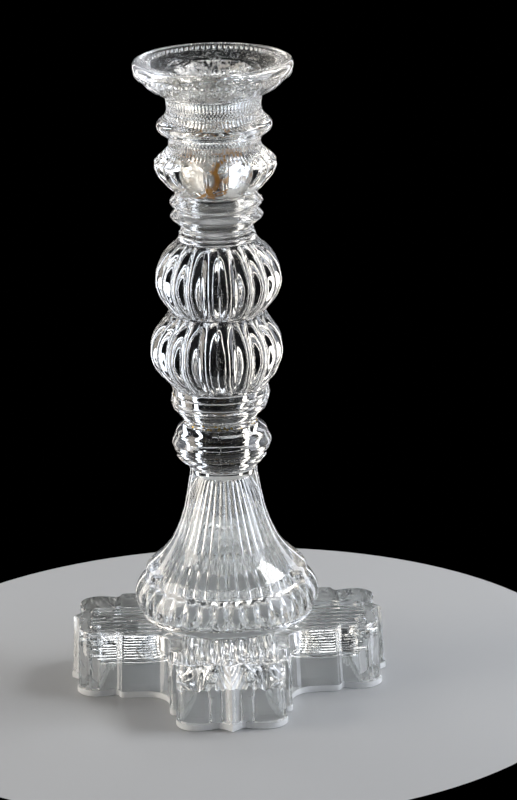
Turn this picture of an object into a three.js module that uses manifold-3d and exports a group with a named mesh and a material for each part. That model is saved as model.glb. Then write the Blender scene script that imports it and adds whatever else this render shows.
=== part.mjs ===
// Pressed-glass candlestick, standing on a four-armed foot.
//
// Millimetres, +Z up. The origin is on the axis of the candle socket, in the plane that the
// foot stands on. The front arm of the foot points along -Y and the side arms along X.
//
// The stick is a stack of glass pieces. Each one was pressed by itself and fused to the next
// one while hot, so neighbours meet in flat round faces. Only the drip pan is loose: it rests
// on the lip of the nozzle, with a short spigot in the nozzle's mouth, and lifts straight off.

import * as THREE from 'three';
import { mergeVertices } from 'three/addons/utils/BufferGeometryUtils.js';
import Module from 'manifold-3d';

const wasm = await Module();
wasm.setup();

// Driving dimensions of the foot. A reach is measured outwards along an arm, a half width
// is measured across it, and both are sizes of the outline that stands on the table.
const footHeight = 25.4;
const footRoof = 11.4;
const footRimHeight = 2.8;
const footRimStep = 0.5;
const footDraft = 1;
const cuspReach = 60;
const cuspRootReach = 56;
const cuspHalfWidth = 5;
const lobeReach = 57.8;
const lobeHalfWidth = 20.7;
const lobeRadius = 7.3;
const waistReach = 43.4;
const waistHalfWidth = 19.2;
const shoulderReach = 42.2;
const shoulderHalfWidth = 23;
const shoulderRound = 3;
const cornerFillet = 9;
const footWall = 5.4;
const footEndWall = 8;
const hollowRound = 6;
const hollowDraft = 1.2;

// Driving dimensions of the disc that joins the foot and the bell. The roof of the foot has a
// round eye in it, as wide as the hole in the disc.
const discHeight = 3;
const discRadius = 32.6;
const discBand = 9.1;
const discEdge = 1.1;
const footEyeRadius = discRadius - discBand;

// Driving dimensions of the bell: a trumpet that swells into a cushion at its foot. Its hollow
// is a cone with a flat ceiling, and steps out to the cushion's own hollow at a ledge.
const cushionHeight = 16.6;
const cushionRadius = 35;
const trumpetHeight = 39.5;
const trumpetFootRadius = 29.6;
const trumpetNeckRadius = 12.6;
const bellWall = 6.6;
const bellCrown = 4.1;
const ledgeHeight = 7;
const ledgeWall = 14.7;

// Driving dimensions of the collar, the wafer and the ring above the bell.
const collarHeight = 17;
const collarRadius = 18.8;
const waferHeight = 2.5;
const waferRadius = 14.2;
const stemRingHeight = 12;
const stemRingRadius = 18.4;

// Driving dimensions of the two ribbed knops. The lower one was set a little off the axis.
const lowerKnopHeight = 29;
const lowerKnopRadius = 25;
const lowerKnopOffset = 1.3;
const upperKnopHeight = 27.5;
const upperKnopRadius = 23.85;
const knopRibs = 20;
const knopRibDepth = 1.5;

// Driving dimensions of the ringed wafer and the double ring under the socket.
const ringedWaferHeight = 5.5;
const ringedWaferRadius = 14.7;
const doubleRingHeight = 12;
const doubleRingRadius = 17.35;

// Driving dimensions of the candle socket, which is the bore through the cup and the nozzle.
const cupHeight = 18;
const cupRadius = 22.95;
const cupFlutes = 14;
const cupFluteDepth = 1;
const cupFloor = 2.2;
const boreRadius = 11.6;
const nozzleHeight = 19.2;
const nozzleRadius = 21.4;

// Driving dimensions of the loose drip pan.
const panHeight = 12.8;
const panRadius = 29.6;
const panSeatRadius = 18.3;
const dishDepth = 4;
const mouthRadius = 12.9;
const mouthDepth = 3;
const spigotLength = 3;
const spigotWall = 1.9;
const spigotClearance = 0.3;

// How finely the round pieces are drawn, and how far a cut runs past what it cuts.
const wideSides = 44;
const narrowSides = 36;
const sidesPerRib = 3;
const sidesPerFlute = 4;
const outlineSteps = 3;
const cutOverrun = 1;

// The outlines below are shares, chosen by eye: first of the radius of their piece, then of
// its height. They run from the bottom of the piece to its top.
const cushionShares = [
  [0.926, 0],
  [0.979, 0.108],
  [1, 0.29],
  [0.976, 0.5],
  [0.931, 0.65],
  [0.894, 0.747],
  [0.871, 0.88],
  [0.861, 0.952],
];
const collarShares = [
  [0.697, 0],
  [0.777, 0.112],
  [0.84, 0.171],
  [0.894, 0.241],
  [0.899, 0.335],
  [0.955, 0.43],
  [1, 0.559],
  [0.95, 0.688],
  [0.915, 0.794],
  [0.83, 0.924],
  [0.755, 1],
];
const waferShares = [
  [0.99, 0],
  [0.96, 0.5],
  [1, 1],
];
const stemRingShares = [
  [0.777, 0],
  [0.86, 0.167],
  [0.916, 0.25],
  [0.954, 0.333],
  [0.99, 0.5],
  [1, 0.7],
  [0.978, 0.92],
  [0.975, 1],
];
const lowerKnopShares = [
  [0.716, 0],
  [0.77, 0.07],
  [0.848, 0.138],
  [0.915, 0.235],
  [0.98, 0.355],
  [1, 0.5],
  [0.97, 0.64],
  [0.904, 0.755],
  [0.8, 0.87],
  [0.72, 1],
];
const upperKnopShares = [
  [0.721, 0],
  [0.8, 0.06],
  [0.876, 0.153],
  [0.945, 0.26],
  [0.998, 0.4],
  [0.985, 0.52],
  [0.906, 0.713],
  [0.84, 0.81],
  [0.74, 0.9],
  [0.62, 1],
];
const ringedWaferShares = [
  [1, 0],
  [1, 0.12],
  [0.945, 0.27],
  [0.967, 0.4],
  [0.9, 0.58],
  [0.925, 0.72],
  [0.885, 0.9],
  [0.9, 1],
];
const doubleRingShares = [
  [0.775, 0],
  [0.919, 0.158],
  [0.994, 0.29],
  [0.945, 0.39],
  [0.88, 0.5],
  [0.925, 0.61],
  [1, 0.742],
  [0.93, 0.867],
  [0.867, 1],
];
const cupShares = [
  [0.662, 0],
  [0.705, 0.08],
  [0.824, 0.222],
  [0.915, 0.38],
  [0.991, 0.54],
  [1, 0.61],
  [0.952, 0.722],
  [0.837, 0.85],
  [0.77, 0.93],
  [0.748, 1],
];
const nozzleShares = [
  [0.799, 0],
  [0.795, 0.13],
  [0.846, 0.208],
  [0.944, 0.281],
  [1, 0.37],
  [0.985, 0.45],
  [0.888, 0.536],
  [0.836, 0.625],
  [0.811, 0.755],
  [0.825, 0.89],
  [0.855, 1],
];
const panShares = [
  [0.686, 0.07],
  [0.803, 0.219],
  [0.907, 0.453],
  [0.963, 0.609],
  [0.997, 0.766],
  [1, 0.844],
  [0.986, 0.922],
  [0.95, 0.985],
];

// Two outlines run between two radii: first the share of the way from the smaller radius to
// the larger one, then the share of the height or the depth.
const trumpetShares = [
  [1, 0],
  [0.888, 0.038],
  [0.793, 0.076],
  [0.688, 0.127],
  [0.568, 0.19],
  [0.436, 0.278],
  [0.309, 0.405],
  [0.191, 0.557],
  [0.082, 0.734],
  [0, 0.937],
  [0.024, 1],
];
const dishShares = [
  [0.854, 1],
  [0.77, 0.87],
  [0.543, 0.42],
  [0.245, 0.1],
  [0, 0],
];

const quarterTurn = Math.PI / 2;

// Where the first valley of the ribs or flutes lies, as a share of their pitch from the front.
const knopValleyShare = 0;
const cupValleyShare = 0.5;

// Points of an outline given as shares of a radius and a height.
function scaled(shares, radius, height) {
  return shares.map(([across, up]) => new THREE.Vector2(across * radius, up * height));
}

// Points of an outline that runs between two radii.
function between(shares, smallRadius, largeRadius, height) {
  return shares.map(
    ([across, up]) =>
      new THREE.Vector2(smallRadius + across * (largeRadius - smallRadius), up * height),
  );
}

function lifted(points, height) {
  return points.map((point) => new THREE.Vector2(point.x, point.y + height));
}

// A body of revolution about Z. Its section runs anticlockwise, seen with the radius to the
// right and up at the top, and either ends on the axis or closes on itself.
function turned(section, sides) {
  return new THREE.LatheGeometry(section, sides).rotateX(quarterTurn);
}

// A turned body without a hole: the outline is closed along the axis at both ends.
function turnedSolid(outline, sides) {
  const foot = new THREE.Vector2(0, outline[0].y);
  const top = new THREE.Vector2(0, outline[outline.length - 1].y);
  return turned([foot, ...outline, top], sides);
}

// Presses ribs into the outside of a turned body. The depth is a function of the radius and the
// height, so that bores and end faces can stay round.
function pressRibs(geometry, ribs, valleyShare, depthAt) {
  const places = geometry.getAttribute('position');
  for (let i = 0; i < places.count; i += 1) {
    const x = places.getX(i);
    const y = places.getY(i);
    const radius = Math.hypot(x, y);
    if (radius > 0) {
      const turn = Math.atan2(x, -y);
      const valley = 1 - Math.abs(Math.sin((ribs * turn) / 2 - valleyShare * Math.PI));
      const pressed = (radius - valley * depthAt(radius, places.getZ(i))) / radius;
      places.setX(i, x * pressed);
      places.setY(i, y * pressed);
    }
  }
  return geometry;
}

// A closed body between flat outlines of equal point count, one above the other.
function layered(outline, layers) {
  const count = outline.length;
  const positions = [];
  for (const layer of layers) {
    for (const point of outline) {
      positions.push(point.x * layer.spread, point.y * layer.spread, layer.height);
    }
  }
  const faces = [];
  const cap = THREE.ShapeUtils.triangulateShape(outline, []);
  const topStart = (layers.length - 1) * count;
  for (const [a, b, c] of cap) {
    faces.push(c, b, a);
    faces.push(topStart + a, topStart + b, topStart + c);
  }
  for (let layer = 0; layer < layers.length - 1; layer += 1) {
    for (let i = 0; i < count; i += 1) {
      const here = layer * count + i;
      const next = layer * count + ((i + 1) % count);
      faces.push(here, next, next + count);
      faces.push(here, next + count, here + count);
    }
  }
  const geometry = new THREE.BufferGeometry();
  geometry.setAttribute('position', new THREE.Float32BufferAttribute(positions, 3));
  geometry.setIndex(faces);
  return geometry;
}

// three.js geometry to a manifold solid, and back.
function toSolid(geometry) {
  const bare = geometry.clone();
  bare.deleteAttribute('normal');
  bare.deleteAttribute('uv');
  const merged = mergeVertices(bare);
  const vertProperties = new Float32Array(merged.getAttribute('position').array);
  const triVerts = new Uint32Array(merged.getIndex().array);
  return new wasm.Manifold(new wasm.Mesh({ numProp: 3, vertProperties, triVerts }));
}

function toGeometry(solid) {
  const { vertProperties, triVerts } = solid.getMesh();
  const geometry = new THREE.BufferGeometry();
  geometry.setAttribute('position', new THREE.BufferAttribute(vertProperties, 3));
  geometry.setIndex(new THREE.BufferAttribute(triVerts, 1));
  geometry.computeVertexNormals();
  return geometry;
}

// Repeats the outline of one arm, which points along +Y, for the four arms of the foot.
function fourArms(arm) {
  const outline = [];
  for (let quarter = 0; quarter < 4; quarter += 1) {
    for (const point of arm) {
      outline.push(point.clone().rotateAround(new THREE.Vector2(), quarter * quarterTurn));
    }
  }
  return outline;
}

// Mirrors the right half of an arm, which runs from its root out to the tip on the arm's
// middle line, and returns the whole arm from root to root.
function wholeArm(rightHalf) {
  const leftHalf = rightHalf.slice(0, -1).reverse();
  return [...rightHalf, ...leftHalf.map((point) => new THREE.Vector2(-point.x, point.y))];
}

// The outline of an arm: a square shoulder, a waist, two round lobes and a pointed cusp.
// The arm starts and ends where the fillet between two arms meets its straight side.
function armOutline() {
  const root = shoulderHalfWidth + cornerFillet;
  const half = new THREE.Path();
  half.moveTo(shoulderHalfWidth, root);
  half.lineTo(shoulderHalfWidth, shoulderReach - shoulderRound);
  half.quadraticCurveTo(
    shoulderHalfWidth,
    shoulderReach,
    shoulderHalfWidth - shoulderRound,
    shoulderReach,
  );
  half.lineTo(waistHalfWidth, waistReach);
  const lobeMiddle = lobeReach - lobeRadius;
  half.quadraticCurveTo(lobeHalfWidth, (waistReach + lobeMiddle) / 2, lobeHalfWidth, lobeMiddle);
  half.absarc(lobeHalfWidth - lobeRadius, lobeMiddle, lobeRadius, 0, quarterTurn, false);
  const lobeInner = (lobeHalfWidth - lobeRadius + cuspHalfWidth) / 2;
  half.quadraticCurveTo(lobeInner, lobeReach, cuspHalfWidth, cuspRootReach);
  half.quadraticCurveTo(cuspHalfWidth / 2, (cuspRootReach * 3 + cuspReach) / 4, 0, cuspReach);
  const arm = wholeArm(half.getPoints(outlineSteps));
  const fillet = new THREE.Path();
  fillet.absarc(-root, root, cornerFillet, 0, -quarterTurn, true);
  return [...arm, ...fillet.getPoints(2 * outlineSteps).slice(1, -1)];
}

// The outline of the hollow under an arm: straight sides and a rounded end.
function hollowOutline() {
  const side = shoulderHalfWidth - footWall;
  const end = cuspReach - footEndWall;
  const half = new THREE.Path();
  half.moveTo(side, side);
  half.lineTo(side, end - hollowRound);
  half.absarc(side - hollowRound, end - hollowRound, hollowRound, 0, quarterTurn, false);
  half.lineTo(0, end);
  const arm = wholeArm(half.getPoints(outlineSteps));
  return arm.slice(0, -1);
}

// The foot: drafted walls over a ground rim, hollow below, with a round eye in its roof that
// opens into the bell.
function makeFoot() {
  const rimSpread = 1 - footRimStep / cuspReach;
  const topSpread = rimSpread - footDraft / cuspReach;
  const body = layered(fourArms(armOutline()), [
    { height: 0, spread: 1 },
    { height: footRimHeight, spread: 1 },
    { height: footRimHeight + footRimStep, spread: rimSpread },
    { height: footHeight, spread: topSpread },
  ]);
  const hollowTop = footHeight - footRoof;
  const hollowTopSpread = 1 - hollowDraft / cuspReach;
  const hollow = layered(fourArms(hollowOutline()), [
    { height: -cutOverrun, spread: 1 },
    { height: hollowTop, spread: hollowTopSpread },
  ]);
  const eye = turnedSolid(
    [
      new THREE.Vector2(footEyeRadius, hollowTop - cutOverrun),
      new THREE.Vector2(footEyeRadius, footHeight + cutOverrun),
    ],
    wideSides,
  );
  return toGeometry(toSolid(body).subtract(toSolid(hollow)).subtract(toSolid(eye)));
}

// The disc: a flat ring with rounded edges, as wide as the bell's foot.
function makeDisc() {
  return turned(
    [
      new THREE.Vector2(footEyeRadius, 0),
      new THREE.Vector2(discRadius - discEdge, 0),
      new THREE.Vector2(discRadius, discEdge),
      new THREE.Vector2(discRadius, discHeight - discEdge),
      new THREE.Vector2(discRadius - discEdge, discHeight),
      new THREE.Vector2(footEyeRadius, discHeight),
      new THREE.Vector2(footEyeRadius, 0),
    ],
    wideSides,
  );
}

// The bell. Below the ledge its hollow follows the cushion at an even wall.
function makeBell() {
  const cushion = scaled(cushionShares, cushionRadius, cushionHeight);
  const trumpet = lifted(
    between(trumpetShares, trumpetNeckRadius, trumpetFootRadius, trumpetHeight),
    cushionHeight,
  );
  const outside = [...cushion, ...trumpet];
  const bellHeight = cushionHeight + trumpetHeight;
  const ceiling = bellHeight - bellCrown;
  const wall = cushion
    .filter((point) => point.y < ledgeHeight)
    .map((point) => new THREE.Vector2(point.x - bellWall, point.y))
    .reverse();
  return turned(
    [
      new THREE.Vector2(0, ceiling),
      new THREE.Vector2(trumpetNeckRadius - bellWall, ceiling),
      new THREE.Vector2(cushionRadius - ledgeWall, ledgeHeight),
      new THREE.Vector2(wall[0].x, ledgeHeight),
      ...wall,
      ...outside,
      new THREE.Vector2(0, bellHeight),
    ],
    wideSides,
  );
}

// A solid knop with ribs that run from end to end and are deepest at its waist.
function makeKnop(shares, radius, height) {
  const body = turnedSolid(scaled(shares, radius, height), knopRibs * sidesPerRib);
  return pressRibs(body, knopRibs, knopValleyShare, (at) => knopRibDepth * (at / radius) ** 2);
}

// The socket cup: fluted outside, with the lower end of the candle bore in it.
function makeCup() {
  const section = [
    new THREE.Vector2(0, 0),
    ...scaled(cupShares, cupRadius, cupHeight),
    new THREE.Vector2(boreRadius, cupHeight),
    new THREE.Vector2(boreRadius, cupFloor),
    new THREE.Vector2(0, cupFloor),
  ];
  const body = turned(section, cupFlutes * sidesPerFlute);
  const wallMiddle = (boreRadius + cupRadius) / 2;
  return pressRibs(body, cupFlutes, cupValleyShare, (radius, height) => {
    const outside = radius > wallMiddle ? 1 : 0;
    return outside * cupFluteDepth * Math.sin((Math.PI * height) / cupHeight);
  });
}

// The nozzle: a flanged neck with the candle bore through it. Its mouth is recessed for the
// spigot of the drip pan.
function makeNozzle() {
  const recessRadius = boreRadius + spigotWall + spigotClearance;
  const recessFloor = nozzleHeight - spigotLength - spigotClearance;
  return turned(
    [
      new THREE.Vector2(boreRadius, 0),
      ...scaled(nozzleShares, nozzleRadius, nozzleHeight),
      new THREE.Vector2(recessRadius, nozzleHeight),
      new THREE.Vector2(recessRadius, recessFloor),
      new THREE.Vector2(boreRadius, recessFloor),
      new THREE.Vector2(boreRadius, 0),
    ],
    narrowSides,
  );
}

// The drip pan: a flared dish with a rolled rim. It sits flat on the nozzle's lip, and its
// spigot hangs into the nozzle's mouth.
function makePan() {
  const spigotRadius = boreRadius + spigotWall;
  const dishFloor = panHeight - dishDepth;
  return turned(
    [
      new THREE.Vector2(boreRadius, -spigotLength),
      new THREE.Vector2(spigotRadius, -spigotLength),
      new THREE.Vector2(spigotRadius, 0),
      new THREE.Vector2(panSeatRadius, 0),
      ...scaled(panShares, panRadius, panHeight),
      ...lifted(between(dishShares, mouthRadius, panRadius, dishDepth), dishFloor),
      new THREE.Vector2(boreRadius, dishFloor - mouthDepth),
      new THREE.Vector2(boreRadius, -spigotLength),
    ],
    wideSides,
  );
}

// The stack, from the table up. Each piece stands on the one before it.
function makeStack() {
  const ring = (shares, radius, height) => turnedSolid(scaled(shares, radius, height), narrowSides);
  const bellHeight = cushionHeight + trumpetHeight;
  return [
    ['foot', footHeight, makeFoot()],
    ['foot_disc', discHeight, makeDisc()],
    ['bell', bellHeight, makeBell()],
    ['bell_collar', collarHeight, ring(collarShares, collarRadius, collarHeight)],
    ['stem_wafer', waferHeight, ring(waferShares, waferRadius, waferHeight)],
    ['stem_ring', stemRingHeight, ring(stemRingShares, stemRingRadius, stemRingHeight)],
    ['lower_knop', lowerKnopHeight, makeKnop(lowerKnopShares, lowerKnopRadius, lowerKnopHeight)],
    ['upper_knop', upperKnopHeight, makeKnop(upperKnopShares, upperKnopRadius, upperKnopHeight)],
    ['ringed_wafer', ringedWaferHeight, ring(ringedWaferShares, ringedWaferRadius, ringedWaferHeight)],
    ['double_ring', doubleRingHeight, ring(doubleRingShares, doubleRingRadius, doubleRingHeight)],
    ['socket_cup', cupHeight, makeCup()],
    ['socket_nozzle', nozzleHeight, makeNozzle()],
    ['drip_pan', panHeight, makePan()],
  ];
}

// The clear, colourless glass that every piece is made of.
const clearGlass = { color: 0xdfe6e6, roughness: 0.06, metalness: 0 };

const candlestick = new THREE.Group();
candlestick.name = 'candlestick';

let standHeight = 0;
for (const [name, height, geometry] of makeStack()) {
  const piece = new THREE.Mesh(geometry, new THREE.MeshStandardMaterial(clearGlass));
  piece.name = name;
  piece.position.z = standHeight;
  candlestick.add(piece);
  standHeight += height;
}
candlestick.getObjectByName('lower_knop').position.x = -lowerKnopOffset;

export default candlestick;
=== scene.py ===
# %% [markdown]
# # A pressed-glass candlestick
#
# This lesson dresses a candlestick of clear pressed glass. Every part of the real one was
# pressed in an iron mould and fused to the next part while hot, so the lesson makes one closed
# glass body for each part and lets light pass freely where two of them were fused.
#
# Clear glass has no colour of its own to paint. What shows is its surface: ribs, beads, stipple,
# sharp arrises and the walls of the hollows. So most of the work goes into real geometry, and
# the materials only add what is too fine to model.

# %% Load the frame
import math

import bmesh
import bpy
from mathutils import Matrix, Vector


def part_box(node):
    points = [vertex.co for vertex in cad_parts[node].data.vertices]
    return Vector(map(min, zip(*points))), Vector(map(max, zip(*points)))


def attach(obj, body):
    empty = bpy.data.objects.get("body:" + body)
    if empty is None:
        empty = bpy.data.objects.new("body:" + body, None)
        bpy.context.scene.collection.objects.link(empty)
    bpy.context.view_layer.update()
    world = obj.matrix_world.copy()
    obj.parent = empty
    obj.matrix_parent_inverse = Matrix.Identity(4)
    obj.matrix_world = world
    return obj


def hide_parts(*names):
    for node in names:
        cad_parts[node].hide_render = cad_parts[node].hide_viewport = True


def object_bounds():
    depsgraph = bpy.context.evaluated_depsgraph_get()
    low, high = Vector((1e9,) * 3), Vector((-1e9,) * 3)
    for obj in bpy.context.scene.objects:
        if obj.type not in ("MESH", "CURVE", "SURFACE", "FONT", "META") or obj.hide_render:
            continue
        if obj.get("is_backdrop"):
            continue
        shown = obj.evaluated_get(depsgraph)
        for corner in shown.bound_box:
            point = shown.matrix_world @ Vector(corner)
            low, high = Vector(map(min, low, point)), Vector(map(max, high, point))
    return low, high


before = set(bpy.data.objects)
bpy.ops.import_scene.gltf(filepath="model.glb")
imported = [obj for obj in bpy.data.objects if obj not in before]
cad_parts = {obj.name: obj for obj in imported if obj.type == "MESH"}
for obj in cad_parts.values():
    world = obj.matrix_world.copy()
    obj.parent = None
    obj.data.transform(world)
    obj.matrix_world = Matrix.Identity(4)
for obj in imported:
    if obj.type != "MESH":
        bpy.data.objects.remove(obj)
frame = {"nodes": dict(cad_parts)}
cad_low, cad_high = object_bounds()
print("nodes:", ", ".join(frame["nodes"]))
print("box in metres:", [round(v, 4) for v in cad_low], [round(v, 4) for v in cad_high])

# %% [markdown]
# ## Millimetres
#
# A glassmaker measures in millimetres and Blender in metres. The outlines below are written in
# millimetres, up from the foot of each part, and one scale at the end turns them into metres.

# %% Units and the place of a part
MM = 0.001


def foot_of(node):
    """Height, in millimetres, of the lowest point of a CAD node."""
    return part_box(node)[0].z / MM


def reach_of(node):
    """Largest radius of a round CAD node, in millimetres."""
    low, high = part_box(node)
    return (high.x - low.x) / 2 / MM


for name in frame["nodes"]:
    print(f"{name}: stands at {foot_of(name):.1f} mm, reaches {reach_of(name):.2f} mm")

# %% [markdown]
# ## The camera
#
# The picture was taken from well above the table, about eighteen degrees down, with a long lens
# held a little askew. The numbers come from the ellipses of the rim, the flange and the collar,
# which flatten more the nearer they are to the eye's height.

# %% Camera
IMAGE_HEIGHT = 800
FOCAL_PIXELS = 3860.0
EYE_DISTANCE = 1376.7 * MM
EYE_HEIGHT = 549.1 * MM
LOOK_DOWN = math.radians(17.725)
ROLL = math.radians(1.404)
AZIMUTH = math.radians(-0.634)
YAW = math.radians(0.572)

camera = bpy.data.objects.new("camera", bpy.data.cameras.new("camera"))
bpy.context.collection.objects.link(camera)
eye = Vector((math.sin(AZIMUTH) * EYE_DISTANCE, -math.cos(AZIMUTH) * EYE_DISTANCE, EYE_HEIGHT))
camera.matrix_world = (
    Matrix.Translation(eye)
    @ Matrix.Rotation(AZIMUTH - YAW, 4, "Z")
    @ Matrix.Rotation(math.pi / 2 - LOOK_DOWN, 4, "X")
    @ Matrix.Rotation(-ROLL, 4, "Z")
)
camera.data.sensor_fit = "VERTICAL"
camera.data.sensor_height = 36
camera.data.lens = FOCAL_PIXELS * camera.data.sensor_height / IMAGE_HEIGHT
camera.data.clip_end = 10
bpy.context.scene.camera = camera
print(f"lens {camera.data.lens:.0f} mm, {EYE_DISTANCE:.2f} m from the stick")

# %% [markdown]
# ## Colours and nodes
#
# Colours are picked on a screen, so they are sRGB values, and Blender's shaders want linear
# ones. One function turns a hex value to linear. A second one adds a shader node with its
# settings and its links. A third wraps a recipe of such nodes as a material, so each material
# below is about as short as its description.


# %% Helpers for materials
def linear(hex_colour):
    """An sRGB hex value such as #ffcc00 as linear red, green and blue, with an alpha of 1."""
    shares = [int(hex_colour[i : i + 2], 16) / 255 for i in (1, 3, 5)]
    return (*[s / 12.92 if s <= 0.04045 else ((s + 0.055) / 1.055) ** 2.4 for s in shares], 1.0)


def add(tree, kind, inputs=(), **settings):
    """Adds a node with its settings, and sets or links its inputs.

    The inputs go by name, or in order from the first. A node there stands for its first output.
    """
    made = tree.nodes.new("ShaderNode" + kind)
    for key, value in settings.items():
        setattr(made, key, value)
    for key, value in inputs.items() if isinstance(inputs, dict) else enumerate(inputs):
        if isinstance(value, bpy.types.Node):
            value = value.outputs[0]
        if isinstance(value, bpy.types.NodeSocket):
            tree.links.new(value, made.inputs[key])
        else:
            made.inputs[key].default_value = value
    return made


def per_mm(size):
    """Texture scale that makes a pattern repeat about every `size` millimetres."""
    return 1 / (size * MM)


def new_material(name, recipe):
    """A node material. `recipe` adds the nodes and returns the shader of the surface."""
    material = bpy.data.materials.new(name)
    material.use_nodes = True
    tree = material.node_tree
    tree.nodes.clear()
    place = add(tree, "TexCoord").outputs["Object"]
    add(tree, "OutputMaterial", {"Surface": recipe(tree, place)})
    print("made", name)
    return material


print("mid grey in linear light:", round(linear("#808080")[0], 3))

# %% [markdown]
# ## Clear pressed glass
#
# Lead glass bends light a little more than window glass does, with an index of about 1.54. It
# left the iron mould with a skin that is never quite flat: slow waves some millimetres wide,
# and a fine grain from the iron. Both are far too shallow to model, so they are bump. Every
# skin below is a roughness and three sizes in millimetres: depth of the waves, size of the grain
# and depth of the grain. The real grain is finer than this, and would not show.

# %% Pressed lead glass
LEAD_GLASS = {"Base Color": linear("#fbfdfd"), "IOR": 1.54, "Transmission Weight": 1.0}
WAVE_SIZE = 7.0


def skin(tree, place, wave_depth, grain_size, grain_depth):
    """Bump for the skin of pressed glass: slow waves with a fine grain on top."""
    waves = add(tree, "TexNoise", {"Vector": place, "Scale": per_mm(WAVE_SIZE), "Detail": 1.0})
    grain = add(tree, "TexNoise", {"Vector": place, "Scale": per_mm(grain_size), "Detail": 2.0})
    slow = add(tree, "Bump", {"Height": waves, "Distance": wave_depth * MM})
    return add(tree, "Bump", {"Height": grain, "Distance": grain_depth * MM, "Normal": slow})


def glass_with_skin(tree, place, roughness, *skin_sizes):
    """The shader of clear lead glass under its skin."""
    finish = {"Roughness": roughness, "Normal": skin(tree, place, *skin_sizes)}
    return add(tree, "BsdfPrincipled", {**LEAD_GLASS, **finish})


def pressed_glass(name, *finish):
    """A material of plain pressed glass."""
    return new_material(name, lambda tree, place: glass_with_skin(tree, place, *finish))


clear_glass = pressed_glass("pressed lead glass", 0.02, 0.06, 0.9, 0.012)

# %% [markdown]
# ## Glass against the plunger
#
# The inside of the bell was shaped by an iron plunger, which chilled the glass as it went in.
# Its wrinkles are finer and deeper than the grain of the outside, and they break up whatever
# is seen through the wall.

# %% Plunger-wrinkled glass
wrinkled_glass = pressed_glass("plunger-wrinkled glass", 0.02, 0.1, 0.65, 0.04)

# %% [markdown]
# ## Satin glass
#
# Next to a hot joint the skin of the glass was stretched and chilled again. It stays satiny
# there, with a close grain, on the ends of the knops and on the rings between them.

# %% Satin glass
satin_glass = pressed_glass("satin glass", 0.1, 0.12, 0.7, 0.07)

# %% [markdown]
# ## Stippled glass
#
# Lacy glass hides the marks of the cold mould under a ground of tiny dots, cut into the iron
# with a punch. The real dots are about 0.7 mm apart. They are drawn at 0.9 and 1 mm, because
# closer ones would not show. A Voronoi pattern has the same look: each cell is one round dot.


# %% Stippled glass
def stippled(name, spacing, depth, dot_size, roughness):
    """Pressed glass under a ground of round dots. `dot_size` is a share of the spacing."""

    def recipe(tree, place):
        cells = add(tree, "TexVoronoi", {"Vector": place, "Scale": per_mm(spacing)})
        dots = add(tree, "MapRange", [cells, 0.0, dot_size, 1.0, 0.0])
        ground = skin(tree, place, 0.05, 0.9, 0.01)
        bumps = add(tree, "Bump", {"Height": dots, "Distance": depth * MM, "Normal": ground})
        finish = {"Roughness": roughness, "Normal": bumps}
        return add(tree, "BsdfPrincipled", {**LEAD_GLASS, **finish})

    return new_material(name, recipe)


stippled_glass = stippled("stippled pressed glass", 1.0, 0.3, 0.42, 0.06)
dish_glass = stippled("finely stippled glass", 0.9, 0.14, 0.36, 0.02)

# %% [markdown]
# ## Ground glass
#
# The rim under the foot was ground flat on a wheel so that the stick stands still, and two
# centuries of tables have worn it since. Ground glass is covered in fine pits and looks white.
# The tip of the plunger left a rough mark of the same kind, a little less white, on the ceiling
# of the bell's hollow.


# %% Ground glass
def frosted(name, whiteness):
    """Glass with a broken surface. `whiteness` is the share that scatters like powder."""

    def recipe(tree, place):
        pits = skin(tree, place, 0.02, 0.35, 0.03)
        finish = {"Base Color": linear("#f4f7f7"), "Roughness": 0.4, "Normal": pits}
        rough = add(tree, "BsdfPrincipled", {**LEAD_GLASS, **finish})
        powder = add(tree, "BsdfDiffuse", {"Color": linear("#f8fafa"), "Normal": pits})
        return add(tree, "MixShader", [whiteness, rough, powder])

    return new_material(name, recipe)


ground_glass = frosted("ground glass", 0.75)
tip_mark = frosted("mark of the plunger's tip", 0.5)

# %% [markdown]
# ## Where two parts were fused
#
# Two parts that were fused hot are one piece of glass, and light goes straight through the
# joint. The touching faces get a plain transparent shader for that. The parts stay separate
# closed bodies, and yet no false air gap shines between them.


# %% Fused joint
def see_through(tree, place):
    """A surface that isn't there."""
    return add(tree, "BsdfTransparent", {"Color": linear("#ffffff")})


fused_joint = new_material("fused glass joint", see_through)

# %% [markdown]
# ## Old wax in the socket
#
# The candle bore holds what two centuries of candles left: a thin milky film in patches, and a
# few amber runs. Most runs are the contour lines of a slow noise, where it crosses its middle
# value. The long one at the front is drawn: it slants across the wall, so its angle round the
# axis goes by the height, and the same noise makes it waver. The film follows a second noise.
# Film and runs both fade out about half way up the bore.

# %% Bore glass with wax
WAX = {"IOR": 1.44, "Roughness": 0.5}
AMBER = {"Base Color": linear("#b8761c"), "Roughness": 0.3, "Transmission Weight": 0.3}
WAX_FADES = (206 * MM, 213 * MM)
RUN_HEIGHTS = (195.5 * MM, 204 * MM)
RUN_TURNS = (math.radians(-5), math.radians(17.5))


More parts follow.
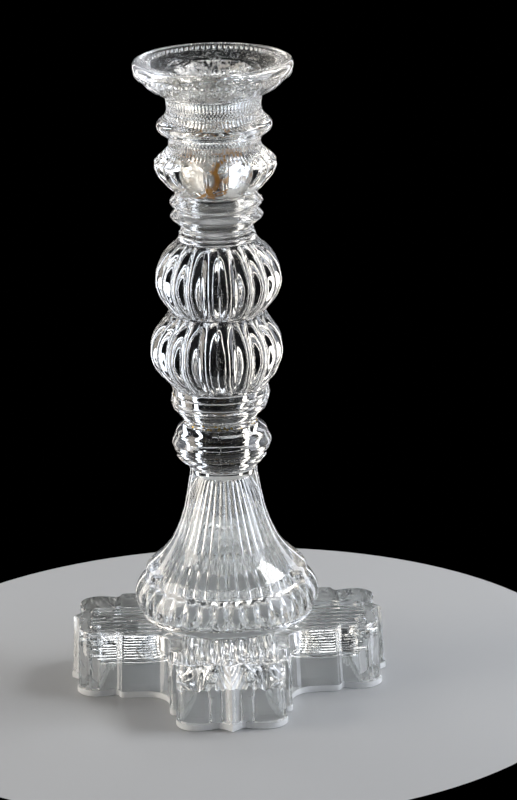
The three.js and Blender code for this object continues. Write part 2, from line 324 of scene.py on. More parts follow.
def amber_runs(tree, place):
    """The share of amber at each place on the wall."""
    slow = {"Vector": place, "Scale": per_mm(11), "Detail": 2.0, "Distortion": 0.8}
    from_middle = add(tree, "Math", [add(tree, "TexNoise", slow), 0.5], operation="SUBTRACT")
    off_line = add(tree, "Math", [from_middle], operation="ABSOLUTE")
    lines = add(tree, "MapRange", [off_line, 0.012, 0.035, 0.95, 0.0])
    patches = add(tree, "TexNoise", {"Vector": place, "Scale": per_mm(8), "Detail": 1.0})
    kept = add(tree, "MapRange", [patches, 0.46, 0.54, 0.0, 1.0])
    streaks = add(tree, "Math", [lines, kept], operation="MULTIPLY")

    sides = add(tree, "SeparateXYZ", [place]).outputs
    front = add(tree, "Math", [sides["Y"], -1.0], operation="MULTIPLY")
    turn = add(tree, "Math", [sides["X"], front], operation="ARCTAN2")
    waver = add(tree, "Math", [from_middle, 0.5], operation="MULTIPLY")
    wavy_turn = add(tree, "Math", [turn, waver], operation="ADD")
    path = add(tree, "MapRange", [sides["Z"], *RUN_HEIGHTS, *RUN_TURNS])
    beside = add(tree, "Math", [wavy_turn, path], operation="SUBTRACT")
    off_path = add(tree, "Math", [beside], operation="ABSOLUTE")
    front_run = add(tree, "MapRange", [off_path, 0.03, 0.08, 1.0, 0.0])
    return add(tree, "Math", [streaks, front_run], operation="MAXIMUM")


def waxed(tree, place):
    """Bore glass under a milky film, with the amber runs over both."""
    height = add(tree, "SeparateXYZ", [place]).outputs["Z"]
    below = add(tree, "MapRange", [height, *WAX_FADES, 1.0, 0.0])
    amber_share = add(tree, "Math", [amber_runs(tree, place), below], operation="MULTIPLY")
    smears = {"Vector": place, "Scale": per_mm(4), "Detail": 3.0, "Distortion": 1.0}
    film = add(tree, "MapRange", [add(tree, "TexNoise", smears), 0.42, 0.58, 0.7, 0.0])
    film_share = add(tree, "Math", [film, below], operation="MULTIPLY")

    bore = glass_with_skin(tree, place, 0.04, 0.12, 1.2, 0.03)
    milk = {"Base Color": linear("#f3f0e8"), "Transmission Weight": 0.35}
    milky = add(tree, "BsdfPrincipled", {**WAX, **milk})
    amber = add(tree, "BsdfPrincipled", {**WAX, **AMBER})
    filmed = add(tree, "MixShader", [film_share, bore, milky])
    return add(tree, "MixShader", [amber_share, filmed, amber])


waxed_glass = new_material("bore glass with old wax", waxed)

# %% [markdown]
# ## Dry smears
#
# The mouth of the drip pan has smears of the same film, but dry, thick and without amber.


# %% Glass with dry smears
def smeared(tree, place):
    """Glass under patches of dry film."""
    smears = add(tree, "TexNoise", {"Vector": place, "Scale": per_mm(1.6), "Detail": 3.0})
    share = add(tree, "MapRange", [smears, 0.4, 0.55, 0.9, 0.0])
    mouth = glass_with_skin(tree, place, 0.03, 0.1, 0.8, 0.04)
    film = {"Base Color": linear("#f6f4ef"), "Transmission Weight": 0.2}
    dry = add(tree, "BsdfPrincipled", {**WAX, **film})
    return add(tree, "MixShader", [share, mouth, dry])


smeared_glass = new_material("glass with dry smears", smeared)

# %% [markdown]
# ## The flecked joint
#
# The thin wafer over the collar holds flecks of tarnished gold, perhaps from an old repair or
# from dirt that the hot glass picked up. Small Voronoi cells, kept only where a slower noise
# allows them, give such a scatter.

# %% Gold-flecked glass
OLD_GOLD = {"Base Color": linear("#b79a4e"), "Metallic": 1.0, "Roughness": 0.4}


def flecked(tree, place):
    """Glass with a scatter of gold flecks."""
    cells = add(tree, "TexVoronoi", {"Vector": place, "Scale": per_mm(1.3)})
    patches = add(tree, "TexNoise", {"Vector": place, "Scale": per_mm(6), "Detail": 1.0})
    is_near = add(tree, "Math", [cells, 0.38], operation="LESS_THAN")
    is_patch = add(tree, "Math", [patches, 0.5], operation="GREATER_THAN")
    flecks = add(tree, "Math", [is_near, is_patch], operation="MULTIPLY")
    around = glass_with_skin(tree, place, 0.05, 0.08, 0.8, 0.03)
    return add(tree, "MixShader", [flecks, around, add(tree, "BsdfPrincipled", OLD_GOLD)])


flecked_glass = new_material("glass with gold flecks", flecked)

# %% [markdown]
# ## Turning a part on the axis
#
# Nearly every part is round, so each one starts as an outline: a chain of points in the plane of
# the axis, spun once round Z. Each point is a row of up to four numbers: radius, height, how
# sharp the ring through it is, and how deep the pattern is on that ring. A pattern is pressed in
# by moving vertices, as the mould did it, and Subdivision Surface gives the soft skin of
# fire-polished glass. Broad ribs are pressed before that smoothing, so that it rounds them. Fine
# beads and strokes are pressed after it, because it would wash them out.
#
# Creases keep the arrises that the real glass has. A ring that is creased in full is shaded
# sharp as well, or its corner would bend light like a lens.
#
# Materials go by band. A band is the strip of faces between one point of the outline and the
# next, so a part can be stippled in one band and fused in another.
#
# The stem was put together hot and by hand, and it wanders about a millimetre off its axis on
# the way up. A short table gives the shift at each height, with a smooth run between.

# %% The turning helpers
RIB_SHARPNESS = 0.7
GROOVE_SHARPNESS = 2.5
ON_VALLEY = 0.02
SAME_PLACE = 1e-4
ROUND_STEPS = 96


def full_row(row):
    """Fills a row up to radius, height, sharpness and pattern."""
    return (*row, 0.0, 0.0)[:4]


def turn_of(vertex):
    """Angle round the axis in radians, from the front and towards +X."""
    return math.atan2(vertex.co.x, -vertex.co.y)


def full_spin(bm, geometry, middle, steps):
    """Spins an outline once round an upright line through `middle`, into a closed body."""
    bmesh.ops.spin(
        bm,
        geom=geometry,
        cent=middle,
        axis=(0, 0, 1),
        angle=2 * math.pi,
        steps=steps,
        use_merge=True,
        use_duplicate=False,
    )
    bmesh.ops.remove_doubles(bm, verts=bm.verts, dist=SAME_PLACE)
    bmesh.ops.recalc_face_normals(bm, faces=bm.faces)


def spin_outline(rows, steps, is_ring):
    """The outline as a body round the axis: a bmesh, and its layer of ring numbers."""
    bm = bmesh.new()
    ring = bm.verts.layers.int.new("ring")
    chain = []
    for number, (radius, height, _, _) in enumerate(rows):
        vertex = bm.verts.new((0, -radius, height))
        vertex[ring] = number
        chain.append(vertex)
    pairs = list(zip(chain, chain[1:]))
    if is_ring:
        pairs.append((chain[-1], chain[0]))
    edges = [bm.edges.new(pair) for pair in pairs]
    full_spin(bm, chain + edges, (0, 0, 0), steps)
    return bm, ring


def crease_rings(bm, ring, rows, ribs):
    """Creases the sharp rings, and the arrises that run up and down between ribs."""
    crease = bm.edges.layers.float.new("crease_edge")
    for edge in bm.edges:
        first, last = edge.verts
        if first[ring] == last[ring]:
            edge[crease] = rows[first[ring]][2]
            edge.smooth = edge[crease] < 1
        elif ribs and min(rows[first[ring]][3], rows[last[ring]][3]) > 0:
            pitches = [turn_of(v) * ribs / (2 * math.pi) for v in edge.verts]
            if all(abs(pitch - round(pitch)) < ON_VALLEY for pitch in pitches):
                edge[crease] = RIB_SHARPNESS


def as_object(bm, name):
    """An object from a bmesh, which is freed."""
    mesh = bpy.data.meshes.new(name)
    bm.to_mesh(mesh)
    bm.free()
    made = bpy.data.objects.new(name, mesh)
    bpy.context.collection.objects.link(made)
    return made


def evaluated_bmesh(scratch):
    """A bmesh of a scratch object as its modifiers leave it."""
    graph = bpy.context.evaluated_depsgraph_get()
    mesh = bpy.data.meshes.new_from_object(scratch.evaluated_get(graph))
    bm = bmesh.new()
    bm.from_mesh(mesh)
    return bm


def smoothed(bm, levels):
    """The same body after Subdivision Surface, so that a fine pattern keeps its full depth."""
    scratch = as_object(bm, "blank")
    smooth = scratch.modifiers.new("smooth", "SUBSURF")
    smooth.levels = levels
    finer = evaluated_bmesh(scratch)
    bpy.data.objects.remove(scratch)
    return finer


def finish_piece(node, bm, materials, levels):
    """Turns a bmesh in millimetres into an object that stands for a CAD node."""
    bmesh.ops.scale(bm, vec=(MM, MM, MM), verts=bm.verts)
    piece = as_object(bm, f"{node}_glass")
    for material in materials:
        piece.data.materials.append(material)
    piece.data.shade_smooth()
    if levels:
        smooth = piece.modifiers.new("fire polish", "SUBSURF")
        smooth.levels = levels
        smooth.render_levels = levels
    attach(piece, "pan" if node == "drip_pan" else "stick")
    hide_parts(node)
    faces = len(piece.data.polygons) * 4**levels
    print(f"{piece.name}: about {faces} faces after smoothing, {len(materials)} materials")
    return piece


STEM_WANDER = [
    (84.5, 0.0), (88.0, -0.5), (97.0, -0.3), (105.0, -1.0), (109.0, -0.8), (114.0, -0.2),
    (119.0, -0.75), (124.0, -1.4), (138.0, -1.4), (143.0, -1.1), (147.0, -0.2), (152.0, 0.0),
]


def wander(height):
    """How far, in millimetres towards +X, the stem stands off the axis at a height."""
    for (low, start), (high, end) in zip(STEM_WANDER, STEM_WANDER[1:]):
        if low < height <= high:
            share = (height - low) / (high - low)
            return start + (end - start) * share * share * (3 - 2 * share)
    return 0.0


def band_materials(rows, bands, fused, is_ring):
    """The material of every band: what `bands` says, else the fused joint on a fused end."""
    ends = {"foot": 0, "top": max(row[1] for row in rows)}
    fused_heights = [ends[end] for end in fused]
    pairs = list(zip(rows, rows[1:])) + ([(rows[-1], rows[0])] if is_ring else [])
    found = []
    for number, (first, second) in enumerate(pairs):
        is_fused = first[1] == second[1] and first[1] in fused_heights
        found.append(bands.get(number, fused_joint if is_fused else clear_glass))
    return found


def move_out(vertex, distance):
    """Moves a vertex away from the axis by a distance in millimetres."""
    radius = math.hypot(vertex.co.x, vertex.co.y)
    if radius > 0:
        share = (radius + distance) / radius
        vertex.co.x *= share
        vertex.co.y *= share


def valley(turn, count, shift=0.0):
    """1 in the sharp valley between two round ribs, 0 on their crests."""
    return 1 - abs(math.sin(count * turn / 2 - shift * math.pi))


def groove(turn, count, shift=0.0):
    """1 in the middle of a narrow groove between two broad, nearly flat ribs."""
    return valley(turn, count, shift) ** GROOVE_SHARPNESS


def band_span(material, first, after):
    """One material for the bands from `first` up to, not including, `after`."""
    return {number: material for number in range(first, after)}


def turned_piece(
    node,
    outline,
    steps,
    bands=None,
    levels=2,
    is_ring=False,
    ribs=0,
    press=None,
    is_fine=False,
    fused=("foot", "top"),
):
    """Makes one turned glass part. `bands` gives the material of a band by its number.

    `ribs` cuts the valleys between that many ribs, as deep as the pattern of each ring says.
    `press` moves a vertex in some other way: before smoothing, or after it where the pattern
    is fine. `fused` names the level ends that are fused to the next part, and `is_ring` closes
    the outline on itself round an open middle.
    """
    rows = [full_row(row) for row in outline]
    bm, ring = spin_outline(rows, steps, is_ring)
    crease_rings(bm, ring, rows, ribs)
    pattern = bm.verts.layers.float.new("pattern")
    for vertex in bm.verts:
        vertex[pattern] = rows[vertex[ring]][3]
    by_band = band_materials(rows, bands or {}, fused, is_ring)
    materials = list(dict.fromkeys(by_band))
    last = len(rows) - 1
    for face in bm.faces:
        numbers = {vertex[ring] for vertex in face.verts}
        band = last if is_ring and numbers == {0, last} else min(numbers)
        face.material_index = materials.index(by_band[band])
    if is_fine:
        bm = smoothed(bm, levels)
        pattern = bm.verts.layers.float["pattern"]
        levels = 0
    for vertex in bm.verts:
        if ribs:
            move_out(vertex, -vertex[pattern] * valley(turn_of(vertex), ribs))
        if press:
            press(vertex, vertex[pattern])
    bmesh.ops.translate(bm, vec=(0, 0, foot_of(node)), verts=bm.verts)
    for vertex in bm.verts:
        vertex.co.x += wander(vertex.co.z)
    finish_piece(node, bm, materials, levels)


print(f"the stem wanders up to {max(abs(shift) for _, shift in STEM_WANDER)} mm")

# %% [markdown]
# ## The foot disc
#
# Between the foot and the bell lies a flat disc of glass with rounded edges, the gather that
# joined the two. It is a plain turned ring, fused on both sides. Only the inner part of its top
# is free, where it lies open to the hollow of the bell.

# %% Foot disc
disc_reach = reach_of("foot_disc")
BELL_SEAT = 26.0
turned_piece(
    "foot_disc",
    [
        (23.5, 0, 1), (28.0, 0), (disc_reach - 1.2, 0, 0.6), (disc_reach - 0.15, 0.7),
        (disc_reach, 1.5), (disc_reach - 0.15, 2.3), (disc_reach - 1.2, 3, 0.6),
        (BELL_SEAT, 3, 0.3), (23.5, 3, 1),
    ],
    ROUND_STEPS,
    {7: clear_glass},
    is_ring=True,
)

# %% [markdown]
# ## The bell
#
# The bell is a trumpet on a cushion. Its hollow was made by a fluted iron cone: thirty sharp
# ridges run down the inside and end at a ledge, and under the ledge each ridge goes on as a
# tooth that tapers to a point. Seen through the curved wall these ridges are the bright lines
# that give the bell its look, so they are real geometry. The outside is smooth, and the ceiling
# of the hollow has the rough mark of the plunger's tip.

# %% Bell
BELL_RIDGES = 30
CONE_TOP = (6.2, 52.0)
CONE_FOOT = (20.3, 7.0)
CONE_BANDS = 9
cone = []
for number in range(1, CONE_BANDS):
    share = number / CONE_BANDS
    radius = CONE_TOP[0] + share * (CONE_FOOT[0] - CONE_TOP[0])
    height = CONE_TOP[1] + share * (CONE_FOOT[1] - CONE_TOP[1])
    ridge_depth = 0.35 + 0.75 * share
    cone.append((radius, height, 0, ridge_depth))

bell_inside = [
    (0, CONE_TOP[1]), (4.6, CONE_TOP[1]), (*CONE_TOP, 0.8, 0.3),
    *cone,
    (*CONE_FOOT, 0.9, 1.1), (23.5, 7.2, 0, 1.6), (26.8, 6.9, 0.8, 2.6), (27.4, 5.2, 0, 1.8),
    (27.4, 3.4, 0, 0.9), (27.0, 1.6, 0, 0.1), (BELL_SEAT, 0, 1),
]
bell_outside = [
    (29.0, 0), (31.6, 0), (32.5, 0.1, 0.6), (33.9, 1.3), (34.7, 3.1), (35.0, 5.0), (34.8, 6.8),
    (34.1, 8.6), (33.2, 10.1), (32.1, 11.5), (31.2, 12.7), (30.75, 13.8), (30.5, 14.8),
    (30.2, 15.7, 0.4), (29.5, 16.7), (28.3, 17.7), (26.6, 19.2), (24.3, 21.3), (22.4, 23.5),
    (20.75, 25.7), (19.25, 28.5), (17.55, 32.2), (15.85, 37.1), (14.6, 42.0), (13.75, 47.6),
    (12.9, 52.0), (12.6, 54.0), (12.9, 56.1, 0.7), (12.0, 56.1), (0, 56.1),
]
turned_piece(
    "bell",
    [*bell_inside, *bell_outside],
    BELL_RIDGES * 4,
    band_span(tip_mark, 0, 2) | band_span(wrinkled_glass, 2, len(bell_inside) - 1),
    ribs=BELL_RIDGES,
)

# %% [markdown]
# ## The collar
#
# The collar is a heavy ring that hides the joint of bell and stem. It has one full bulge, a
# groove under it, a double edge and a smaller step. All of that is outline. Only the thin seam
# that the two halves of the mould left at the front is pressed in.

# %% Collar
SEAM_TURN = math.radians(-3.5)
SEAM_WIDTH = 0.45
SEAM_HEIGHT = 0.28
SEAM_STEPS = 128


def press_seam(vertex, depth):
    """Raises the thin seam that the two halves of the mould left at the front."""
    along = (turn_of(vertex) - SEAM_TURN) * vertex.co.xy.length
    if depth and abs(along) < SEAM_WIDTH:
        move_out(vertex, SEAM_HEIGHT * depth * math.cos(along / SEAM_WIDTH * math.pi / 2) ** 2)


turned_piece(
    "bell_collar",
    [
        (0, 0), (12.3, 0), (13.1, 0, 0.7), (13.7, 1.0, 0, 1), (14.6, 1.9, 0, 1),
        (15.6, 2.7, 0, 1), (16.5, 3.5, 0, 1), (16.8, 4.1, 0.5, 1), (16.6, 4.9, 0, 1),
        (16.9, 5.7, 0, 1), (17.4, 6.5, 0, 1), (18.0, 7.3, 0.6, 1), (18.0, 7.9, 0, 1),
        (18.4, 8.5, 0, 1), (18.7, 9.5, 0, 1), (18.5, 10.5, 0, 1), (17.85, 11.7, 0, 1),
        (17.3, 12.7, 0.5, 1), (17.2, 13.7, 0, 1), (16.7, 14.7, 0, 1), (15.6, 15.7, 0, 1),
        (14.7, 16.5, 0, 1), (14.2, 17, 0.6), (13.4, 17), (0, 17),
    ],
    SEAM_STEPS,
    press=press_seam,
    is_fine=True,
)

# %% [markdown]
# ## The wafer
#
# A wafer is a coin of hot glass that glued two pressed parts together. Here it is the thin
# waist over the collar, and it carries the gold flecks.

# %% Stem wafer
turned_piece(
    "stem_wafer",
    [
        (0, 0), (13.5, 0), (14.1, 0.25, 0.4), (13.6, 1.25), (14.1, 2.25, 0.4), (13.5, 2.5),
        (0, 2.5),
    ],
    ROUND_STEPS,
    band_span(flecked_glass, 1, 5),
)

# %% [markdown]
# ## The stem ring
#
# The ring under the knops is a short bowl with fine turned grooves in pairs. They catch light
# as thin level lines.

# %% Stem ring
turned_piece(
    "stem_ring",
    [
        (0, 0), (13.5, 0), (14.3, 0, 0.6), (14.9, 1.0), (15.8, 2.0), (16.85, 3.0),
        (17.4, 3.7, 0.5), (17.2, 4.0), (17.75, 4.5, 0.5), (18.1, 5.4), (18.25, 6.2, 0.5),
        (17.9, 6.6), (18.3, 7.0, 0.5), (18.35, 8.1), (18.3, 9.2, 0.5), (17.85, 9.6),
        (18.15, 10.0, 0.5), (18.1, 11.0), (18.0, 11.8, 0.5), (17.6, 12), (0, 12),
    ],
    ROUND_STEPS,
)

# %% [markdown]
# ## The knops
#
# Each knop is a solid melon with twenty round ribs and a sharp valley at the front. The ribs
# run from pole to pole and are deepest at the waist. The lower knop is a little larger, and it
# stands where the stem wanders most.

# %% Knops
KNOP_RIBS = 20
KNOP_STEPS = KNOP_RIBS * 6

turned_piece(
    "upper_knop",
    [
        (0, 0), (16.2, 0), (17.2, 0, 0.7, 0.3), (18.6, 1.2, 0, 0.8), (19.7, 2.5, 0, 1.0),
        (20.9, 4.2, 0, 1.3), (22.15, 6.0, 0, 1.6), (23.0, 8.3, 0, 1.7), (23.8, 10.9, 0, 1.8),
        (23.6, 13.9, 0, 1.8), (22.85, 16.8, 0, 1.7), (21.6, 19.6, 0, 1.5), (20.2, 22.1, 0, 1.3),
        (18.3, 24.3, 0, 1.0), (16.4, 25.7, 0, 0.7), (15.5, 26.6, 0, 0.4), (14.8, 27.5, 0.6, 0.2),
        (14.0, 27.5), (0, 27.5),
    ],
    KNOP_STEPS,
    band_span(satin_glass, 2, 5) | band_span(satin_glass, 14, 16),
    ribs=KNOP_RIBS,
)

turned_piece(
    "lower_knop",
    [
        (0, 0), (17.0, 0), (17.9, 0, 0.7, 0.3), (18.6, 1.4, 0, 0.7), (19.7, 2.6, 0, 1.0),
        (21.2, 4.0, 0, 1.2), (22.3, 5.8, 0, 1.4), (23.5, 8.0, 0, 1.6), (24.5, 10.3, 0, 1.7),
        (24.95, 12.6, 0, 1.8), (24.95, 15.0, 0, 1.8), (24.6, 17.4, 0, 1.8), (23.9, 19.6, 0, 1.7),
        (22.6, 21.9, 0, 1.5), (21.4, 23.5, 0, 1.3), (19.8, 25.5, 0, 1.0), (18.9, 27.0, 0, 0.6),
        (18.0, 29, 0.6, 0.3), (17.0, 29), (0, 29),
    ],
    KNOP_STEPS,
    band_span(satin_glass, 2, 5) | band_span(satin_glass, 16, 17),
    ribs=KNOP_RIBS,
)

# %% [markdown]
# ## The necks over the knops
#
# First a short neck with three thin rings, then a ring with two round edges that closes the
# candle socket from below. Both are outline only.

# %% Ringed wafer and double ring
turned_piece(
    "ringed_wafer",
    [
        (0, 0), (13.9, 0), (14.6, 0.1, 0.4), (14.7, 0.6), (14.3, 1.1, 0.5), (13.8, 1.45, 0.5),
        (14.2, 1.9, 0.3), (14.2, 2.4), (13.6, 2.85, 0.5), (13.2, 3.2, 0.5), (13.6, 3.65, 0.3),
        (13.6, 4.15), (13.1, 4.6, 0.5), (13.0, 5.1), (13.2, 5.5, 0.5), (12.8, 5.5), (0, 5.5),
    ],
    ROUND_STEPS,
    band_span(satin_glass, 2, 14),
)

turned_piece(
    "double_ring",
    [
        (0, 0), (12.8, 0), (13.4, 0, 0.6), (14.5, 0.9), (15.9, 1.9), (17.0, 2.8),
        (17.2, 3.6, 0.3), (16.7, 4.4), (15.9, 5.1), (15.3, 5.8, 0.3), (15.2, 6.5, 0.3),
        (15.9, 7.2), (16.9, 8.0), (17.35, 8.9, 0.3), (17.0, 9.6), (16.1, 10.4), (15.4, 11.2),
        (15.0, 12, 0.6), (14.4, 12), (0, 12),
    ],
    ROUND_STEPS,
    band_span(satin_glass, 2, 17),
)

# %% [markdown]
# ## The socket cup
#
# The cup is turnip-shaped, with fourteen broad panels pressed round it and one of them facing
# the front. The candle bore ends in it, in a flat floor. The bore's wall carries the old wax.

# %% Socket cup
BORE = 11.6
CUP_PANELS = 14
PANEL_SHARPNESS = 1.5
STROKES = 84
STROKE_FOOT = 15.0
STROKE_RISE = 1.0
STROKE_DEPTH = 0.45


def press_cup(vertex, depth):
    """Cuts the valleys between the panels, and the nozzle's strokes over the shoulder."""
    move_out(vertex, -depth * valley(turn_of(vertex), CUP_PANELS, 0.5) ** PANEL_SHARPNESS)
    fade = min(1.0, (vertex.co.z - STROKE_FOOT) / STROKE_RISE)
    is_outside = vertex.co.xy.length > BORE + 1
    if fade > 0 and is_outside:
        move_out(vertex, -STROKE_DEPTH * fade * groove(turn_of(vertex), STROKES))


cup_outside = [
    (0, 0), (14.6, 0), (15.2, 0, 0.7), (16.0, 1.4, 0, 0.3), (17.5, 2.6, 0, 0.8),
    (18.9, 4.0, 0, 1.2), (20.4, 6.0, 0, 1.6), (22.0, 8.0, 0, 1.8), (22.75, 9.8, 0, 1.8),
    (22.9, 11.0, 0, 1.7), (22.65, 12.2, 0, 1.5), (21.85, 13.0, 0, 1.3), (20.9, 13.9, 0, 1.1),
    (19.2, 15.3, 0, 0.7), (18.0, 16.4, 0.3, 0.3), (17.4, 17.3), (17.15, 18, 0.7), (16.6, 18),
]
cup_bore = [
    (BORE, 18, 1), (BORE, 14.0), (BORE, 8.0), (BORE, 3.2), (BORE - 0.6, 2.3, 0.4), (8.0, 2.2),
    (0, 2.2),
]
bore_start = len(cup_outside)
turned_piece(
    "socket_cup",
    [*cup_outside, *cup_bore],
    STROKES * 2,
    band_span(waxed_glass, bore_start, bore_start + len(cup_bore) - 1),
    press=press_cup,
    is_fine=True,
)

# %% [markdown]
# ## The nozzle
#
# The nozzle is a neck with a flange, covered in fine upright strokes, eighty-four round it. A
# row of chevrons runs over the flange and a row of little triangles under it. The strokes are
# 1.3 mm apart, which still shows as separate lines in the picture, so they are pressed into the
# mesh. Moving a row by half a stroke turns it into chevrons.

# %% Socket nozzle
NOZZLE_LIP = 19.2
RECESS = 13.8
RECESS_FLOOR = 15.9


def press_nozzle(vertex, depth):
    """Presses upright strokes. A negative depth moves them by half a stroke."""
    shift = 0.5 if depth < 0 else 0.0
    move_out(vertex, -abs(depth) * groove(turn_of(vertex), STROKES, shift))


nozzle_outside = [
    (16.6, 0), (17.1, 0, 0.7), (17.05, 0.5, 0, 0.4), (16.95, 1.4, 0, 0.45), (17.0, 2.2, 0, 0.4),
    (17.2, 2.7, 0, 0.05), (17.5, 3.2, 0, -0.45), (17.9, 3.7, 0, 0.05), (18.4, 4.2, 0, 0.45),
    (19.0, 4.6), (20.2, 5.4, 0.3), (21.1, 6.2), (21.35, 7.1), (21.3, 8.2), (20.8, 9.0, 0.3),
    (19.9, 9.7), (19.3, 10.1, 0, 0.45), (18.7, 10.55, 0, 0.5), (18.3, 11.0, 0, 0.5),
    (18.05, 11.5, 0, 0.45), (17.9, 12.0, 0, 0.05), (17.75, 12.4, 0, 0.45), (17.55, 13.2, 0, 0.5),
    (17.45, 13.9, 0, 0.4), (17.4, 14.2, 0, 0.05), (17.4, 14.6, 0, -0.45), (17.4, 15.0, 0, 0.05),
    (17.4, 15.4, 0, 0.6), (17.5, 16.4, 0, 0.8), (17.7, 17.4, 0, 0.8), (17.95, 18.3, 0, 0.6),
    (18.2, 18.8, 0.3), (18.3, NOZZLE_LIP, 0.7),
]
nozzle_inside = [
    (RECESS, NOZZLE_LIP, 1), (RECESS, RECESS_FLOOR, 1), (BORE, RECESS_FLOOR, 1), (BORE, 8.0),
]
last_band = len(nozzle_outside) + len(nozzle_inside)
turned_piece(
    "socket_nozzle",
    [(BORE, 0, 1), *nozzle_outside, *nozzle_inside],
    STROKES * 4,
    band_span(waxed_glass, last_band - 1, last_band + 1),
    levels=1,
    is_ring=True,
    press=press_nozzle,
    is_fine=True,
    fused=("foot",),
)

# %% [markdown]
# ## The drip pan
#
# The pan is a loose flared dish that lifts off the nozzle, so it has a real film of air under
# its seat, a tenth of a millimetre. Its rim is rolled. A ring of seventy-two beads lies in the
# dish, with a stippled ground inside it and a smooth ring round the hole. Underneath there is
# a second ring of beads, more stipple, and a row of short strokes over the seat.

# %% Drip pan
BEADS = 72
UPPER_BEADS = (24.6, 14.35, 0.95)
UNDER_BEADS = (28.5, 10.85, 0.9)
UNDER_BEAD_DROP = 0.6
UNDER_BEAD_PUSH = 0.3
CLEAN_MOUTH_BANDS = 4


def bead_height(vertex, row_radius, row_height, bead_radius):
    """How high a row of round beads stands over a vertex."""
    pitch = turn_of(vertex) * BEADS / (2 * math.pi)
    along = (pitch - round(pitch)) * 2 * math.pi / BEADS * row_radius
    radius = math.hypot(vertex.co.x, vertex.co.y)
    distance = math.hypot(along, radius - row_radius, vertex.co.z - row_height)
    return math.sqrt(max(0.0, bead_radius**2 - distance**2))


def press_pan(vertex, depth):
    """Raises the beads over and under the dish, and cuts the strokes over the seat."""
    upper = bead_height(vertex, *UPPER_BEADS)
    under = bead_height(vertex, *UNDER_BEADS)
    vertex.co.z += upper - UNDER_BEAD_DROP * under
    move_out(vertex, UNDER_BEAD_PUSH * under)
    move_out(vertex, -depth * valley(turn_of(vertex), STROKES))


pan_seat = [
    (BORE, 0, 1), (13.5, 0, 1), (13.5, 3.1, 1), (17.6, 3.1, 0.8), (18.2, 3.2, 0.4, 0.5),
    (19.0, 3.5, 0, 0.5),
]
pan_under = [
    (20.3, 3.9), (22.2, 4.8), (23.8, 5.8), (25.0, 6.8), (26.1, 7.9), (27.0, 9.05), (27.5, 9.7),
]
pan_rim = [
    (27.8, 10.05), (28.05, 10.35), (28.3, 10.6), (28.5, 10.85), (28.7, 11.1), (28.9, 11.4),
    (29.15, 11.8), (29.5, 12.8), (29.6, 13.8), (29.3, 14.8), (28.6, 15.5), (27.9, 15.75),
    (27.2, 15.6), (26.8, 15.1, 0.3), (26.2, 14.8), (25.6, 14.7), (25.3, 14.6), (24.95, 14.5),
    (24.6, 14.4), (24.25, 14.3), (23.9, 14.2),
]
pan_dish = [
    (23.6, 14.1), (23.0, 13.9), (20.6, 13.1), (18.4, 12.55),
]
pan_mouth = [
    (17.2, 12.3, 0.4), (16.6, 12.6, 0.3), (15.0, 12.5), (13.9, 12.2, 0.3), (13.0, 11.6),
    (12.2, 10.4), (BORE, 8.8, 0.5), (BORE, 2.8),
]
under_start = len(pan_seat) - 1
under_end = under_start + len(pan_under)
dish_start = under_end + len(pan_rim)
dish_end = dish_start + len(pan_dish)
smears_start = dish_end + CLEAN_MOUTH_BANDS
smears_end = dish_end + len(pan_mouth)
turned_piece(
    "drip_pan",
    [*pan_seat, *pan_under, *pan_rim, *pan_dish, *pan_mouth],
    BEADS * 6,
    band_span(stippled_glass, under_start, under_end)
    | band_span(dish_glass, dish_start, dish_end)
    | band_span(smeared_glass, smears_start, smears_end),
    levels=1,
    is_ring=True,
    press=press_pan,
    is_fine=True,
    fused=(),
)

# %% [markdown]
# ## The outline of the foot
#
# The foot is not round. Seen from above it has four arms, and each arm ends in two round lobes
# with a pointed cusp between them. Half an arm is drawn once, as straight runs and arcs, then
# mirrored and turned four times. The same outline serves the walls and the top.

# %% Outline of the foot
BEND_STEPS = 5


def arc(middle, radius, start, end, steps):
    """Points on a round corner, angles in degrees from +X."""
    angles = [math.radians(start + (end - start) * i / steps) for i in range(steps + 1)]
    x, y = middle
    return [Vector((x + radius * math.cos(a), y + radius * math.sin(a))) for a in angles]


def bend(start, through, end):
    """Points on a soft curve that leaves `start` towards `through` and arrives at `end`."""
    start, through, end = Vector(start), Vector(through), Vector(end)
    shares = [i / BEND_STEPS for i in range(1, BEND_STEPS + 1)]
    return [start.lerp(through, t).lerp(through.lerp(end, t), t) for t in shares]


def four_arms(right_half, between=()):
    """Mirrors half an arm, which points along +Y, and turns the whole arm four times."""
    left_half = [Vector((-p.x, p.y)) for p in reversed(right_half[:-1])]
    arm = [*right_half, *left_half, *between]
    outline = []
    for quarter in range(4):
        turn = Matrix.Rotation(quarter * math.pi / 2, 2)
        outline += [turn @ p for p in arm]
    return outline


half_arm = [
    Vector((23.0, 32.0)),
    Vector((23.0, 39.2)),
    *bend((23.0, 39.2), (23.0, 42.2), (20.2, 42.2)),
    Vector((19.2, 43.4)),
    *bend((19.2, 43.4), (20.7, 46.6), (20.7, 50.5)),
    *arc((13.4, 50.5), 7.3, 8, 90, 10),
    *bend((13.4, 57.8), (8.6, 57.8), (5.0, 56.0)),
    *bend((5.0, 56.0), (2.6, 57.2), (0.0, 60.0)),
]
inner_corner = arc((-32.0, 32.0), 9.0, 0, -90, 10)[1:-1]
foot_outline = four_arms(half_arm, inner_corner)
print(f"foot outline: {len(foot_outline)} points, reaches {max(p.y for p in foot_outline):.1f} mm")

# %% [markdown]
# ## The body of the foot
#
# The outline becomes a face and the face is extruded upwards in layers: the ground rim, a small
# step inwards, and the drafted wall, which leans in so that the foot could leave the mould. The
# arris round the top is rounded with a bevel, as the fire rounded it.

# %% Walls of the foot
LEVEL = 0.99
SAME_HEIGHT = 1e-3


